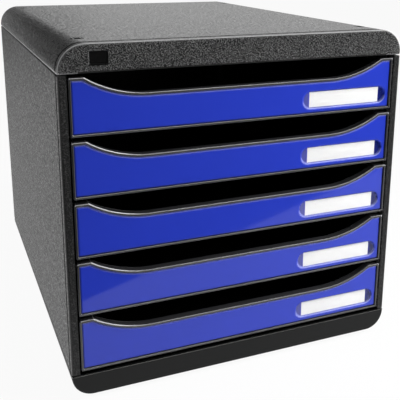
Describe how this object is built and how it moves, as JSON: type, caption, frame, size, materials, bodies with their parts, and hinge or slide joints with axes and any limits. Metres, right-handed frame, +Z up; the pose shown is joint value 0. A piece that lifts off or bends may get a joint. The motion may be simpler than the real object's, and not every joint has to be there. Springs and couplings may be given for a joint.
{
  "type": "desktop drawer unit",
  "caption": "Desktop drawer unit for documents: rounded grey housing on rubber feet with stacked sliding trays, blue fronts, finger scoops and label windows.",
  "frame": {"origin": "middle of the unit's footprint, on the surface it stands on", "axes": "+X to the right seen from the front, +Y from the drawer fronts to the back, +Z up"},
  "size_m": [0.278, 0.347, 0.271],
  "materials": {
    "cover": "grained grey polystyrene",
    "side_panel": "grained grey polystyrene",
    "base": "satin black polystyrene",
    "back_panel": "satin black polystyrene",
    "tray": "satin black polystyrene",
    "front": "glossy blue",
    "label_window": "clear",
    "label": "white paper",
    "foot": "black rubber"
  },
  "bodies": {
    "housing": {"top_cover": "cover", "base": "base", "left_side_panel": "side_panel", "right_side_panel": "side_panel", "back_panel": "back_panel", "foot_front_left": "foot", "foot_front_right": "foot", "foot_back_left": "foot", "foot_back_right": "foot"},
    "drawer_1": {"tray_1": "tray", "front_1": "front", "label_window_1": "label_window", "label_1": "label"},
    "drawer_2": {"tray_2": "tray", "front_2": "front", "label_window_2": "label_window", "label_2": "label"},
    "drawer_3": {"tray_3": "tray", "front_3": "front", "label_window_3": "label_window", "label_3": "label"},
    "drawer_4": {"tray_4": "tray", "front_4": "front", "label_window_4": "label_window", "label_4": "label"},
    "drawer_5": {"tray_5": "tray", "front_5": "front", "label_window_5": "label_window", "label_5": "label"}
  },
  "joints": [
    {"name": "drawer_1_slide", "type": "slide", "parent": "housing", "child": "drawer_1", "axis": [0, -1, 0], "range_m": [0, 0.25]},
    {"name": "drawer_2_slide", "type": "slide", "parent": "housing", "child": "drawer_2", "axis": [0, -1, 0], "range_m": [0, 0.25]},
    {"name": "drawer_3_slide", "type": "slide", "parent": "housing", "child": "drawer_3", "axis": [0, -1, 0], "range_m": [0, 0.25]},
    {"name": "drawer_4_slide", "type": "slide", "parent": "housing", "child": "drawer_4", "axis": [0, -1, 0], "range_m": [0, 0.25]},
    {"name": "drawer_5_slide", "type": "slide", "parent": "housing", "child": "drawer_5", "axis": [0, -1, 0], "range_m": [0, 0.25]}
  ]
}
